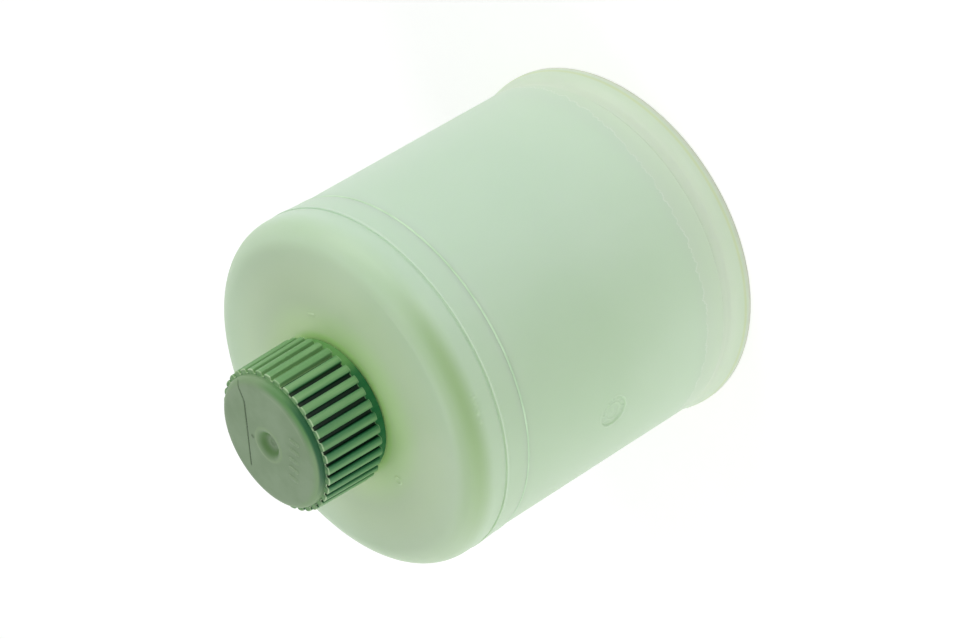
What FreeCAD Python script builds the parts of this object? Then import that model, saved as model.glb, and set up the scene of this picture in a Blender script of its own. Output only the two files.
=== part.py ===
import FreeCAD, Part
import math
import os
from FreeCAD import Vector

# Bell-shaped oil reservoir of an electric steering pump. Millimetres, +Z up along the tank's axis.
# The origin is the centre of the open mouth's rim, on which the tank stands.

# Barrel, outside
foot_radius = 57.0
foot_height = 10.8
seam_radius = 55.0
seam_height = 92.7
barrel_wall = 2.6

# Mouth, which slides over the pump's flange
skirt_wall = 2.4
mouth_flare = 1.6
lip_height = 1.2
lip_edge = 0.4
groove_depth = 0.8
groove_height = 7.8

# Ledge that the pump's flange comes up against
ledge_height = 20.0
ledge_thickness = 2.0
ledge_reach = 3.0
gusset_count = 24
gusset_thickness = 1.6
gusset_height = 6.0

# Round moulding mark in the barrel's side
mark_radius = 5.0
mark_depth = 0.4
mark_height = 58.1
mark_angle = -139.8

# Weld collar and dome
collar_step = 0.15
collar_height = 8.5
collar_draft = 0.2
collar_groove_depth = 0.3
collar_groove_width = 0.8
dome_step = 0.2
dome_wall = 2.6
shoulder_radius = 8.0
dome_height = 20.7
dome_rise = 0.5
seam_step_wall = 1.5

# Filler neck
neck_radius = 18.2
neck_wall = 2.4
neck_height = 18.1
neck_chamfer = 1.0

# Anti-surge plate
baffle_thickness = 1.7
baffle_fit = 0.2
baffle_play = 0.3
baffle_hole_radius = 18.0
baffle_rim_wall = 1.5
baffle_rim_depth = 5.0
flow_hole_count = 8
flow_hole_radius = 6.0
flow_hole_circle = 35.0
baffle_rib_thickness = 1.5
baffle_rib_depth = 3.0

# Pump seal, a square-cut ring
seal_height = 3.8
seal_width = 3.4
seal_bevel = 0.6
seal_fit = 0.03
gland_depth = 0.8
gland_play = 0.4

# Filler strainer
cage_flange = 1.0
cage_flange_margin = 0.3
cage_fit = 0.4
cage_wall = 1.5
cage_collar_depth = 8.0
cage_clearance = 9.6
cage_rib_count = 6
cage_rib_width = 2.2
cage_floor = 2.0
cage_floor_ring = 2.4
mesh_thickness = 0.4
mesh_lap = 2.0

# Seal ring and plug under the lid
ring_thickness = 2.1
ring_width = 4.0
plug_flange = 1.6
plug_play = 0.3
plug_fit = 0.5
plug_wall = 1.6
plug_floor = 1.5
plug_depth = 6.0
vent_hole_count = 4
vent_hole_radius = 1.1
vent_hole_circle = 3.9

# Breather valve
valve_radius = 5.8
valve_edge = 0.4
valve_crown = 1.2
stem_radius = 1.3
stem_fit = 0.1
bulb_radius = 2.0
bulb_length = 1.8

# Filler cap
cap_gap = 0.4
cap_inner_radius = 19.6
cap_band_wall = 1.3
cap_band_height = 3.3
cap_lead_in = 0.5
lid_thickness = 2.7
lid_edge_width = 3.8
lid_edge_drop = 2.2
bead_reach = 0.7
bead_height = 0.8
rib_count = 36
rib_root_bottom = 21.35
rib_root_top = 21.1
rib_crest_bottom = 22.9
rib_crest_top = 22.3
rib_width = 2.5
rib_crown = 0.35
rib_chamfer = 0.3
dimple_radius = 4.8
dimple_floor_radius = 1.9
dimple_depth = 1.8
dimple_wall = 1.4

# Heights that follow from the stack of pieces
shoulder_top = seam_height + dome_height
dome_top = shoulder_top + dome_rise
neck_top = dome_top + neck_height
pump_bore_radius = foot_radius - skirt_wall
gland_radius = pump_bore_radius + gland_depth
gland_bottom = ledge_height - seal_height - gland_play
ledge_top = ledge_height + ledge_thickness
baffle_seat = seam_height - baffle_play - baffle_thickness
baffle_seat_radius = seam_radius - seam_step_wall
neck_bore_radius = neck_radius - neck_wall
cage_outer_radius = neck_bore_radius - cage_fit
cage_inner_radius = cage_outer_radius - cage_wall
cage_bottom = baffle_seat + baffle_thickness + cage_clearance
cage_floor_top = cage_bottom + cage_floor
collar_bottom = neck_top - cage_collar_depth
ring_bottom = neck_top + cage_flange
plug_seat = ring_bottom + ring_thickness
plug_top = plug_seat + plug_flange
plug_radius = cage_inner_radius - plug_fit
plug_floor_top = plug_seat - plug_depth
lid_underside = plug_top + plug_play
lid_top = lid_underside + lid_thickness
cap_bottom = dome_top + cap_gap
rib_bottom = cap_bottom + cap_band_height


def arc_middle(start, end, heading):
    """Middle of the arc that leaves the start along a heading and ends at the end."""
    chord = end - start
    turn = heading.getAngle(chord)
    side = heading - chord * (heading.dot(chord) / chord.dot(chord))
    return (start + end) / 2 + side.normalize() * (chord.Length / 2 * math.tan(turn / 2))


class Outline:
    """Closed half-section drawn as radius and height, turned about the tank's axis."""

    def __init__(self, radius, height):
        self.start = Vector(radius, 0, height)
        self.point = self.start
        self.edges = []

    def line(self, radius, height):
        """Adds a straight line to a point."""
        end = Vector(radius, 0, height)
        self.edges.append(Part.makeLine(self.point, end))
        self.point = end
        return self

    def bend(self, end, leave=None, arrive=None):
        """Adds an arc to a point, tangent to a direction where it leaves or where it arrives."""
        finish = Vector(end[0], 0, end[1])
        if leave:
            via = arc_middle(self.point, finish, Vector(leave[0], 0, leave[1]))
        else:
            via = arc_middle(finish, self.point, Vector(-arrive[0], 0, -arrive[1]))
        self.edges.append(Part.Arc(self.point, via, finish).toShape())
        self.point = finish
        return self

    def turned(self):
        """Closes the section and turns it into a solid."""
        self.line(self.start.x, self.start.z)
        face = Part.Face(Part.Wire(self.edges))
        return face.revolve(Vector(0, 0, 0), Vector(0, 0, 1), 360)


def disc(radius, bottom, top):
    """Solid round slab on the axis."""
    return Part.makeCylinder(radius, top - bottom, Vector(0, 0, bottom))


def ring(inner, outer, bottom, top):
    """Flat or tubular ring on the axis."""
    return Outline(inner, bottom).line(outer, bottom).line(outer, top).line(inner, top).turned()


def around(shape, count, start=0.0):
    """Copies of a shape at equal angles about the axis."""
    copies = []
    for number in range(count):
        copy = shape.copy()
        copy.rotate(Vector(0, 0, 0), Vector(0, 0, 1), start + 360.0 * number / count)
        copies.append(copy)
    return copies


def barrel_radius(height):
    """Outer radius of the tapered barrel at a height."""
    share = (height - foot_height) / (seam_height - foot_height)
    return foot_radius + (seam_radius - foot_radius) * share


def ledge_gusset():
    """Triangular web between the ledge's upper face and the barrel wall."""
    wall = barrel_radius(ledge_top) - barrel_wall
    tip = pump_bore_radius - ledge_reach + gusset_thickness / 2
    sunk = barrel_wall / 2
    corners = [
        Vector(tip, -gusset_thickness / 2, ledge_top - ledge_thickness / 2),
        Vector(wall + sunk, -gusset_thickness / 2, ledge_top - ledge_thickness / 2),
        Vector(wall + sunk, -gusset_thickness / 2, ledge_top + gusset_height),
        Vector(wall, -gusset_thickness / 2, ledge_top + gusset_height),
        Vector(tip, -gusset_thickness / 2, ledge_top),
    ]
    face = Part.Face(Part.makePolygon(corners + corners[:1]))
    return face.extrude(Vector(0, gusset_thickness, 0))


def barrel():
    """Tapered tank wall with the pump ledge, seal gland, grooved and flared mouth and plate seat."""
    mouth_radius = foot_radius + mouth_flare
    groove_radius = foot_radius - groove_depth
    lip_wall = groove_radius - pump_bore_radius
    lip_inner = mouth_radius - lip_wall
    outline = Outline(lip_inner + lip_edge, 0)
    outline.line(mouth_radius - lip_edge, 0).line(mouth_radius, lip_edge).line(mouth_radius, lip_height)
    outline.bend((groove_radius, groove_height), arrive=(0, 1))
    outline.line(foot_radius, foot_height)
    outline.line(seam_radius, seam_height).line(baffle_seat_radius, seam_height)
    outline.line(baffle_seat_radius, baffle_seat)
    outline.line(barrel_radius(baffle_seat) - barrel_wall, baffle_seat)
    outline.line(barrel_radius(ledge_top) - barrel_wall, ledge_top)
    outline.line(pump_bore_radius - ledge_reach, ledge_top)
    outline.line(pump_bore_radius - ledge_reach, ledge_height).line(gland_radius, ledge_height)
    outline.line(gland_radius, gland_bottom).line(pump_bore_radius, gland_bottom)
    outline.line(pump_bore_radius, groove_height)
    outline.line(lip_inner, lip_edge)
    solid = outline.turned()
    solid = solid.fuse(around(ledge_gusset(), gusset_count))
    return solid.cut(moulding_mark())


def moulding_mark():
    """Cutter for the shallow round mark in the barrel's side."""
    depth = barrel_radius(mark_height) - mark_depth
    cutter = Part.makeCylinder(mark_radius, foot_radius, Vector(depth, 0, mark_height), Vector(1, 0, 0))
    cutter.rotate(Vector(0, 0, 0), Vector(0, 0, 1), mark_angle)
    return cutter


def dome():
    """Weld collar, groove, rounded shoulder, nearly flat top and the filler neck, one wall thick."""
    collar_top = seam_height + collar_height
    groove_top = collar_top + collar_groove_width
    collar_low = seam_radius + collar_step
    dome_radius = seam_radius + dome_step
    shoulder_start = shoulder_top - shoulder_radius
    flat_radius = dome_radius - shoulder_radius
    neck_foot = neck_radius + neck_chamfer
    ceiling = dome_top - dome_wall
    outline = Outline(seam_radius - dome_wall, seam_height)
    outline.line(collar_low, seam_height).line(collar_low + collar_draft, collar_top)
    outline.line(dome_radius - collar_groove_depth, collar_top)
    outline.line(dome_radius - collar_groove_depth, groove_top).line(dome_radius, groove_top)
    outline.line(dome_radius, shoulder_start).bend((flat_radius, shoulder_top), leave=(0, 1))
    outline.line(neck_foot, dome_top).line(neck_radius, dome_top + neck_chamfer)
    outline.line(neck_radius, neck_top).line(neck_bore_radius, neck_top)
    outline.line(neck_bore_radius, ceiling + neck_chamfer).line(neck_foot - neck_wall, ceiling)
    outline.line(flat_radius, shoulder_top - dome_wall)
    outline.bend((dome_radius - dome_wall, shoulder_start), arrive=(0, -1))
    return outline.turned()


def baffle():
    """Anti-surge plate: hole for the strainer with a rim, a ring of flow holes and webs between them."""
    top = baffle_seat + baffle_thickness
    plate = ring(baffle_hole_radius, baffle_seat_radius - baffle_fit, baffle_seat, top)
    rim = ring(baffle_hole_radius, baffle_hole_radius + baffle_rim_wall, top - baffle_rim_depth, top)
    web_end = barrel_radius(baffle_seat) - barrel_wall - 2 * baffle_play
    web_start = baffle_hole_radius + baffle_rim_wall / 2
    web_corner = Vector(web_start, -baffle_rib_thickness / 2, top - baffle_rib_depth)
    web_height = baffle_rib_depth - baffle_thickness / 2
    web = Part.makeBox(web_end - web_start, baffle_rib_thickness, web_height, web_corner)
    solid = plate.fuse([rim] + around(web, flow_hole_count, 180.0 / flow_hole_count))
    hole = disc(flow_hole_radius, baffle_seat - baffle_thickness, top + baffle_thickness)
    hole.translate(Vector(flow_hole_circle, 0, 0))
    return solid.cut(around(hole, flow_hole_count))


def pump_seal():
    """Square-cut rubber ring in its gland, in the corner between the socket's wall and the ledge."""
    outer = gland_radius - seal_fit
    inner = outer - seal_width
    top = ledge_height - seal_fit
    bottom = top - seal_height
    outline = Outline(inner + seal_bevel, bottom).line(outer - seal_bevel, bottom)
    outline.line(outer, bottom + seal_bevel).line(outer, top - seal_bevel).line(outer - seal_bevel, top)
    outline.line(inner + seal_bevel, top).line(inner, top - seal_bevel).line(inner, bottom + seal_bevel)
    return outline.turned()


def strainer_cage():
    """Flange on the neck's end, collar in its bore, upright ribs and a spoked floor."""
    flange_radius = neck_radius - cage_flange_margin
    outline = Outline(0, cage_bottom).line(cage_outer_radius, cage_bottom).line(cage_outer_radius, neck_top)
    outline.line(flange_radius, neck_top).line(flange_radius, ring_bottom)
    outline.line(cage_inner_radius, ring_bottom).line(cage_inner_radius, cage_floor_top)
    outline.line(0, cage_floor_top)
    rib = Part.makeBox(
        cage_outer_radius + cage_wall, cage_rib_width, neck_top - cage_bottom,
        Vector(0, -cage_rib_width / 2, cage_bottom),
    )
    ribs = around(rib, cage_rib_count)
    window_inner = cage_inner_radius - cage_wall
    window_outer = cage_outer_radius + cage_wall
    windows = ring(window_inner, window_outer, cage_floor_top, collar_bottom)
    drains = disc(cage_outer_radius - cage_floor_ring, cage_bottom - cage_floor, cage_floor_top + cage_floor)
    return outline.turned().cut([windows.cut(ribs), drains.cut(ribs)])


def strainer_mesh():
    """Thin cup that lines the cage's posts and stands on its floor."""
    top = collar_bottom + mesh_lap
    inner = cage_inner_radius - mesh_thickness
    cup = Outline(0, cage_floor_top).line(cage_inner_radius, cage_floor_top).line(cage_inner_radius, top)
    cup.line(inner, top).line(inner, cage_floor_top + mesh_thickness).line(0, cage_floor_top + mesh_thickness)
    return cup.turned()


def cap_seal():
    """Rubber ring between the neck's end and the plug's flange."""
    outer = neck_radius - cage_flange_margin
    return ring(outer - ring_width, outer, ring_bottom, plug_seat)


def seal_plug():
    """Flanged cup that carries the rubber ring; its floor has the breather's holes."""
    flange_radius = cap_inner_radius - plug_fit
    inner = plug_radius - plug_wall
    floor_bottom = plug_floor_top - plug_floor
    outline = Outline(0, floor_bottom).line(plug_radius, floor_bottom).line(plug_radius, plug_seat)
    outline.line(flange_radius, plug_seat).line(flange_radius, plug_top).line(inner, plug_top)
    outline.line(inner, plug_floor_top).line(0, plug_floor_top)
    solid = outline.turned()
    vent = disc(vent_hole_radius, floor_bottom - plug_floor, plug_top)
    vent.translate(Vector(vent_hole_circle, 0, 0))
    stem_hole = disc(stem_radius + stem_fit, floor_bottom - plug_floor, plug_top)
    return solid.cut(around(vent, vent_hole_count) + [stem_hole])


def breather_valve():
    """Umbrella over the plug's holes, its stem through the floor and the bulb that holds it."""
    floor_bottom = plug_floor_top - plug_floor
    crown = plug_floor_top + valve_crown
    outline = Outline(0, floor_bottom - bulb_length).line(stem_radius, floor_bottom - bulb_length)
    outline.line(bulb_radius, floor_bottom - bulb_length / 2).line(bulb_radius, floor_bottom)
    outline.line(stem_radius, floor_bottom).line(stem_radius, plug_floor_top)
    outline.line(valve_radius, plug_floor_top).line(valve_radius, plug_floor_top + valve_edge)
    outline.bend((0, crown), arrive=(-1, 0))
    return outline.turned()


def grip_rib():
    """One upright rib: straight flanks and a slightly crowned crest, leaning in towards the lid."""
    half = rib_width / 2
    shoulder = rib_crest_bottom - rib_crown
    sunk = rib_root_top - half
    low = rib_bottom - rib_crown
    foot = Vector(sunk, -half, low)
    edge = Vector(shoulder, -half, low)
    crest = Vector(rib_crest_bottom, 0, low)
    outline = [
        Part.makeLine(foot, edge),
        Part.Arc(edge, crest, Vector(shoulder, half, low)).toShape(),
        Part.makeLine(Vector(shoulder, half, low), Vector(sunk, half, low)),
        Part.makeLine(Vector(sunk, half, low), foot),
    ]
    rib = Part.Face(Part.Wire(outline)).extrude(Vector(0, 0, lid_underside - low + rib_crown))
    lean = math.degrees(math.atan2(rib_crest_bottom - rib_crest_top, lid_underside - rib_bottom))
    rib.rotate(Vector(rib_crest_bottom, 0, rib_bottom), Vector(0, 1, 0), -lean)
    return rib


def grip():
    """Tapered body of the cap with its ribs, which are chamfered at the front end."""
    height = lid_underside - rib_bottom
    body = Part.makeCone(rib_root_bottom, rib_root_top, height, Vector(0, 0, rib_bottom))
    reach = rib_crest_bottom + rib_chamfer
    tip = rib_crest_top - rib_chamfer
    envelope = Outline(0, rib_bottom).line(reach, rib_bottom).line(reach, lid_underside - reach + tip)
    envelope.line(tip, lid_underside).line(0, lid_underside)
    return body.fuse(around(grip_rib(), rib_count)).common(envelope.turned())


def filler_cap():
    """Screw cap: plain band, ribbed grip, lid with a rounded edge and a dimple, bead inside for the plug."""
    band = disc(cap_inner_radius + cap_band_wall, cap_bottom, rib_bottom)
    lid_side = rib_root_top - rib_chamfer
    lid = Outline(0, lid_underside).line(lid_side, lid_underside).line(lid_side, lid_top - lid_edge_drop)
    lid.bend((lid_side - lid_edge_width, lid_top), arrive=(-1, 0)).line(0, lid_top)
    outer = band.fuse([grip(), lid.turned()])
    return outer.cut(cap_hollow()).fuse(dimple_boss()).cut(dimple())


def cap_hollow():
    """Cutter for the cap's inside, which leaves the bead below the plug's flange."""
    bead_top = plug_seat - plug_play
    bead_bottom = bead_top - bead_height
    bead_radius = cap_inner_radius - bead_reach
    outline = Outline(0, cap_bottom).line(cap_inner_radius + cap_lead_in, cap_bottom)
    outline.line(cap_inner_radius, cap_bottom + cap_lead_in)
    outline.line(cap_inner_radius, bead_bottom - bead_reach).line(bead_radius, bead_bottom)
    outline.line(bead_radius, bead_top).line(cap_inner_radius, bead_top)
    outline.line(cap_inner_radius, lid_underside).line(0, lid_underside)
    return outline.turned()


def dimple():
    """Cutter for the conical dimple in the middle of the lid."""
    floor = lid_top - dimple_depth
    return Part.makeCone(dimple_floor_radius, dimple_radius, dimple_depth, Vector(0, 0, floor))


def dimple_boss():
    """Thickening under the lid that keeps a wall below the dimple."""
    bottom = lid_top - dimple_depth - dimple_wall
    return disc(dimple_radius, bottom, lid_underside + lid_thickness / 4)


def main():
    """Builds every piece and writes it to its own file."""
    os.makedirs("parts", exist_ok=True)
    pieces = {
        "barrel": barrel(),
        "dome": dome(),
        "filler_cap": filler_cap(),
        "cap_seal": cap_seal(),
        "seal_plug": seal_plug(),
        "breather_valve": breather_valve(),
        "strainer_cage": strainer_cage(),
        "strainer_mesh": strainer_mesh(),
        "baffle": baffle(),
        "pump_seal": pump_seal(),
    }
    for name, shape in pieces.items():
        print(name, shape.isValid(), len(shape.Solids), "solid", round(shape.Volume / 1000, 2), "cm3")
        shape.exportStep("parts/" + name + ".step")


main()
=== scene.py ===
"""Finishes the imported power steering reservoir: its surfaces, materials, floor, light and camera."""
import math

import bmesh
import bpy
import numpy as np
from bpy.props import FloatProperty, FloatVectorProperty, IntProperty, PointerProperty
from bpy.types import Operator, Panel, PropertyGroup
from mathutils import Matrix, Vector


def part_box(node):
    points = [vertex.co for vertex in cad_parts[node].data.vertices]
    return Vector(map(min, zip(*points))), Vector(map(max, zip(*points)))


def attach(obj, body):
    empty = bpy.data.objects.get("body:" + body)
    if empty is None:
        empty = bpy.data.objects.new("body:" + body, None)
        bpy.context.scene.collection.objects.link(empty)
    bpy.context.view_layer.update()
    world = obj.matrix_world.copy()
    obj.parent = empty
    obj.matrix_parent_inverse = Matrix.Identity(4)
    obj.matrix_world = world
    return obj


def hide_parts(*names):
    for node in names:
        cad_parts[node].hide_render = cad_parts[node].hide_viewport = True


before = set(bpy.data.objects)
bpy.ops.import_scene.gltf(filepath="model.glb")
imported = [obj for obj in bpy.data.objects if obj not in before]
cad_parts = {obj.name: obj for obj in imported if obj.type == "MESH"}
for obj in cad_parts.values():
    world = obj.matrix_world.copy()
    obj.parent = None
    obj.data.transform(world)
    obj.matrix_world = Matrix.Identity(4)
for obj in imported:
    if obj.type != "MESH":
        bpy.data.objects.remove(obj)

bl_info = {
    "name": "Steering reservoir",
    "version": (1, 0, 0),
    "blender": (4, 5, 0),
    "location": "3D View > Sidebar > Reservoir",
    "description": "Makes the surfaces, finishes and stage of a power steering reservoir",
    "category": "Object",
}

MM = 0.001
FULL_TURN = 2 * math.pi
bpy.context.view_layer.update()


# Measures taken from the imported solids

FOOT_BAND = (9 * MM, 12 * MM)
FOOT_HEIGHT = 10.8 * MM
WELD_BAND = (92 * MM, 93 * MM)
WALL = 2.6 * MM


def rings(node):
    """Radius and height of every corner of a solid's mesh, as two arrays."""
    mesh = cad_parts[node].data
    flat = np.zeros(len(mesh.vertices) * 3)
    mesh.vertices.foreach_get("co", flat)
    points = flat.reshape(-1, 3)
    return np.hypot(points[:, 0], points[:, 1]), points[:, 2]


def widest(node, low, high):
    """Greatest radius of a solid between two heights."""
    radius, height = rings(node)
    return float(radius[(height >= low) & (height <= high)].max())


def bottom(node):
    """Lowest point of a solid."""
    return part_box(node)[0].z


def top(node):
    """Highest point of a solid."""
    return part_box(node)[1].z


def wall_radii():
    """Outer radius of the tapered wall at its foot and at the weld."""
    return widest("barrel", *FOOT_BAND), widest("dome", *WELD_BAND) - 0.15 * MM


def barrel_line(height):
    """Outer radius of the tapered wall at a height, on the straight line from its foot to the weld."""
    foot, weld = wall_radii()
    return foot + (weld - foot) * (height - FOOT_HEIGHT) / (top("barrel") - FOOT_HEIGHT)


# Surfaces

def rounded(corners, closed=True):
    """Half-section with rounded corners, as rows of radius and height.

    Each corner is (radius, height, rounding, steps). Where its sides meet at the angle 2h, the arc touches
    them at rounding / tan h from the corner, and its centre lies on the bisector at rounding / sin h. With s
    and e as the centre's vectors to the arc's ends and w = pi - 2h, a point of the arc is the centre plus
    (s sin((1 - k) w) + e sin(k w)) / sin w, for k from 0 to 1.
    """
    places = np.array([corner[:2] for corner in corners], float)
    rows = []
    for number, (_, _, rounding, steps) in enumerate(corners):
        corner = places[number]
        at_end = not closed and number in (0, len(corners) - 1)
        if at_end or rounding == 0:
            rows.append(corner[None])
            continue
        before = places[number - 1] - corner
        after = places[(number + 1) % len(places)] - corner
        before /= np.linalg.norm(before)
        after /= np.linalg.norm(after)
        half = math.acos(float(np.clip(before @ after, -1, 1))) / 2
        bisector = (before + after) / np.linalg.norm(before + after)
        centre = corner + bisector * rounding / math.sin(half)
        start = corner + before * rounding / math.tan(half) - centre
        end = corner + after * rounding / math.tan(half) - centre
        sweep = math.pi - 2 * half
        share = np.linspace(0, 1, steps + 1)[:, None]
        arc = (start * np.sin((1 - share) * sweep) + end * np.sin(share * sweep)) / math.sin(sweep)
        rows.append(centre + arc)
    return np.concatenate(rows)


def lengths(section):
    """Length along a section from its start to each of its points."""
    return np.concatenate([[0], np.cumsum(np.linalg.norm(np.diff(section, axis=0), axis=1))])


def refined(section, longest, fine=(), closed=True):
    """Section with points added so that no stretch is longer than a length.

    Points are laid along the section by its length. fine holds (low, high, spacing) for stretches, given as
    lengths from its start, that need closer points.
    """
    line = np.concatenate([section, section[:1]]) if closed else section
    run = lengths(line)
    stops = [run, np.arange(0, run[-1], longest)]
    stops += [np.arange(low, high, spacing) for low, high, spacing in fine]
    place = np.unique(np.round(np.concatenate(stops), 7))
    least = 2e-6
    place = place[np.concatenate([[True], np.diff(place) > least])]
    if closed:
        place = place[place < run[-1] - least]
    return np.stack([np.interp(place, run, line[:, 0]), np.interp(place, run, line[:, 1])], 1)


def close_to(place, reach, spacing):
    """A stretch of closer points for refined, to either side of a place."""
    return place - reach, place + reach, spacing


def run_to(section, level, axis=1, rank=0, side=1):
    """Length along a section to where its height (axis 1) or its radius (axis 0) passes a level.

    Of several such places it takes the one with the greatest radius (rank 0) or height (rank 1), or with the
    least where side is -1.
    """
    run = lengths(section)
    ends = section[:, axis] - level
    middle = (section[:-1, rank] + section[1:, rank]) / 2
    number = int(np.argmax(np.where(ends[:-1] * ends[1:] <= 0, middle * side, -np.inf)))
    share = ends[number] / (ends[number] - ends[number + 1])
    return float(run[number] + share * (run[number + 1] - run[number]))


def outward(section):
    """Unit vectors square to a closed section, on its right as it goes up outside and down inside."""
    along = np.roll(section, -1, axis=0) - np.roll(section, 1, axis=0)
    along /= np.maximum(np.linalg.norm(along, axis=1, keepdims=True), 1e-12)
    return np.stack([along[:, 1], -along[:, 0]], 1)


def lattice(rows, columns, wrap_rows):
    """Corner numbers of the quads of a grid whose columns run round and close on themselves."""
    first = np.arange(rows if wrap_rows else rows - 1)
    row, column = np.meshgrid(first, np.arange(columns), indexing="ij")
    next_row, next_column = (row + 1) % rows, (column + 1) % columns
    quads = [row * columns + column, row * columns + next_column]
    quads += [next_row * columns + next_column, next_row * columns + column]
    return np.stack(quads, -1).reshape(-1, 4)


def smooth_step(value, low, high):
    """0 below low, 1 above high and 3 t^2 - 2 t^3 between them."""
    share = np.clip((value - low) / (high - low), 0, 1)
    return share * share * (3 - 2 * share)


def bell(off, width):
    """Bell curve of height 1: e to the power of minus the square of off / width."""
    return np.exp(-(off / width) ** 2)


def turned(section, angles, relief=None):
    """Points of a section turned about the axis: (r cos a, r sin a, z).

    relief(angle, radius, height) gives the surface's rise, square to the section, at each point of the grid.
    """
    angle, radius = np.meshgrid(angles, section[:, 0])
    height = np.repeat(section[:, 1:2], len(angles), axis=1)
    if relief is not None:
        rise = relief(angle, radius, height)
        normal = outward(section)
        radius = radius + rise * normal[:, 0:1]
        height = height + rise * normal[:, 1:2]
    return np.stack([radius * np.cos(angle), radius * np.sin(angle), height], -1)


def even_angles(count):
    """Angles at equal steps round the axis."""
    return np.arange(count) * FULL_TURN / count


def merged_angles(*groups):
    """Angles of several sets in order round the axis, without near doubles."""
    angles = np.sort(np.concatenate(groups) % FULL_TURN)
    return angles[np.concatenate([[True], np.diff(angles) > 1e-5])]


def wrapped(angle):
    """The same angle between minus and plus half a turn."""
    return (angle + math.pi) % FULL_TURN - math.pi


def new_mesh(name, points, wrap_rows=True, layers=(), ends=(), sharp=38):
    """Mesh object of a grid: doubles merged at its poles, faces turned outwards, smooth by its angles.

    Its columns close on themselves, and its rows where wrap_rows says so. layers are values that the points
    carry, ends are faces beyond the grid's own, and sharp is the angle in degrees past which an edge is
    hard.
    """
    mesh = bpy.data.meshes.new(name)
    faces = lattice(points.shape[0], points.shape[1], wrap_rows).tolist() + list(ends)
    mesh.from_pydata(points.reshape(-1, 3).tolist(), [], faces)
    for layer, values in layers:
        attribute = mesh.attributes.new(layer, "FLOAT", "POINT")
        attribute.data.foreach_set("value", np.ascontiguousarray(values, np.float32).ravel())
    work = bmesh.new()
    work.from_mesh(mesh)
    bmesh.ops.remove_doubles(work, verts=work.verts, dist=1e-7)
    bmesh.ops.recalc_face_normals(work, faces=work.faces)
    work.to_mesh(mesh)
    work.free()
    mesh.shade_smooth()
    mesh.set_sharp_from_angle(angle=math.radians(sharp))
    return placed(name, mesh)


def placed(name, data):
    """Object of a mesh, a lamp or a camera, linked to the scene."""
    thing = bpy.data.objects.new(name, data)
    bpy.context.scene.collection.objects.link(thing)
    return thing


def fit(piece, body, slot, material, *nodes):
    """Gives a piece its material and the body it moves with, and hides the solids it stands for; slot is not
    used.
    """
    piece.data.materials.append(material)
    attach(piece, body)
    if nodes:
        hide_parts(*nodes)


def refinish(node, material):
    """Gives a solid that stays in view a material."""
    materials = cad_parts[node].data.materials
    materials.clear()
    materials.append(material)


def screw_ridge(name, radius, rise, width, start_height, pitch, turns, side=1):
    """Thread ridge: a rounded trapezium carried along a right-hand helix, fading out over both ends.

    At t from 0 to 1 the helix angle is 2 pi turns t and its height start_height + pitch turns t. The
    ridge's corners lie at radius + side * rise * f and at heights -width/2 to width/2, where f, the fade, is
    a smooth step over the first and last tenth of the run, and side is -1 for a ridge that stands inwards.
    """
    steps = int(96 * turns)
    share = np.linspace(0, 1, steps)
    angle = (FULL_TURN * turns * share)[:, None]
    height = (start_height + pitch * turns * share)[:, None]
    fade = (smooth_step(share, 0, 0.1) * smooth_step(1 - share, 0, 0.1))[:, None]
    across = np.array([-0.5, -0.36, -0.26, -0.12, 0.12, 0.26, 0.36, 0.5])
    lift = np.array([-0.25, 0.45, 0.86, 1.0, 1.0, 0.86, 0.45, -0.25])
    reach = radius + side * rise * (lift * (0.05 + 0.95 * fade) - 0.12)
    level = height + width * across * (0.35 + 0.65 * fade)
    points = np.stack([reach * np.cos(angle), reach * np.sin(angle), level], -1)
    corners = np.arange(len(across))
    ends = [corners[::-1].tolist(), (corners + (steps - 1) * len(across)).tolist()]
    return new_mesh(name, points, wrap_rows=False, ends=ends, sharp=50)


# Materials

class Signal:
    """A node's output that can be used in sums: each operation adds one Math node."""

    def __init__(self, finish, socket):
        self.finish = finish
        self.socket = socket

    def maths(self, operation, *others):
        """Result of a Math node on this value and others."""
        return self.finish.maths(operation, self, *others)

    def __add__(self, other):
        return self.maths("ADD", other)

    def __radd__(self, other):
        return self.finish.maths("ADD", other, self)

    def __sub__(self, other):
        return self.maths("SUBTRACT", other)

    def __rsub__(self, other):
        return self.finish.maths("SUBTRACT", other, self)

    def __mul__(self, other):
        return self.maths("MULTIPLY", other)

    def __rmul__(self, other):
        return self.finish.maths("MULTIPLY", other, self)

    def __truediv__(self, other):
        return self.maths("DIVIDE", other)

    def __rtruediv__(self, other):
        return self.finish.maths("DIVIDE", other, self)

    def __abs__(self):
        return self.maths("ABSOLUTE")

    def step(self, low, high):
        """0 below low, 1 above high, and smooth between them."""
        settings = {"interpolation_type": "SMOOTHSTEP"}
        inputs = {"Value": self, "From Min": low, "From Max": high}
        return self.finish.node("ShaderNodeMapRange", settings, "Result", inputs)

    def near(self, middle, width):
        """1 at a value, fading to 0 at a distance of width from it."""
        return 1 - abs(self - middle).step(0, width)


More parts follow.
